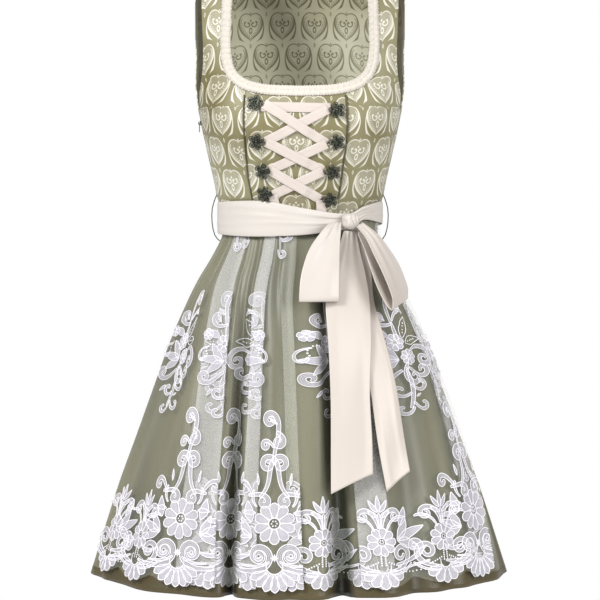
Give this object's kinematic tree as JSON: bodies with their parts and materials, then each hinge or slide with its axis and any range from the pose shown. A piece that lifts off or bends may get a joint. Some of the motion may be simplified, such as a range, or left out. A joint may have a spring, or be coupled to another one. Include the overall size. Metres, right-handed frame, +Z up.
{
  "type": "dirndl dress",
  "caption": "Hollow knee-length dirndl dress with laced bodice, gathered skirt, embroidered net apron and ribbon sash tied in a bow.",
  "frame": {"origin": "the middle of the shoulder line, where the wearer's shoulders hold the dress up", "axes": "+Z up, +X to the right of someone who faces the front, -Y out of the front"},
  "size_m": [0.6478, 0.4618, 0.9647],
  "materials": {
    "jacquard": "olive and ivory figured jacquard, slight sheen",
    "ivory_braid": "gathered matt braid",
    "dark_piping": "dark olive satin piping",
    "dark_metal": "blackened cast metal",
    "lacing_ribbon": "ivory satin ribbon",
    "olive_satin": "olive shot satin",
    "apron_net": "sheer net with white corded embroidery",
    "ivory_satin": "ivory satin, soft sheen",
    "green_thread": "dark green thread and zip tape",
    "zip_metal": "grey metal"
  },
  "bodies": {
    "dress": {"bodice_front_centre": "jacquard", "bodice_side_front_left": "jacquard", "bodice_side_front_right": "jacquard", "bodice_back": "jacquard", "neckline_trim_front": "ivory_braid", "neckline_trim_back": "ivory_braid", "piping_left": "dark_piping", "piping_right": "dark_piping", "hook_left_1": "dark_metal", "hook_left_2": "dark_metal", "hook_left_3": "dark_metal", "hook_left_4": "dark_metal", "hook_right_1": "dark_metal", "hook_right_2": "dark_metal", "hook_right_3": "dark_metal", "hook_right_4": "dark_metal", "lace_top": "lacing_ribbon", "lace_down_right_1": "lacing_ribbon", "lace_down_right_2": "lacing_ribbon", "lace_down_right_3": "lacing_ribbon", "lace_down_left_1": "lacing_ribbon", "lace_down_left_2": "lacing_ribbon", "lace_down_left_3": "lacing_ribbon", "lace_end_left": "lacing_ribbon", "lace_end_right": "lacing_ribbon", "skirt_front": "olive_satin", "skirt_back": "olive_satin", "apron": "apron_net", "sash_front": "ivory_satin", "sash_side": "ivory_satin", "sash_back": "ivory_satin", "knot": "ivory_satin", "tail_left": "ivory_satin", "tail_right": "ivory_satin", "bow_loop_left": "ivory_satin", "bow_loop_right": "ivory_satin", "belt_loop_left": "green_thread", "belt_loop_right": "green_thread", "side_zip": "green_thread", "zip_slider": "zip_metal"},
    "zip_pull": {"zip_pull": "zip_metal"}
  },
  "joints": [
    {"name": "pull_tab_swing", "type": "hinge", "parent": "dress", "child": "zip_pull", "pos_m": [-0.15352, -0.02767, -0.2598], "axis": [-0.1517, 0.9884, 0], "range_deg": [0, 150]}
  ]
}
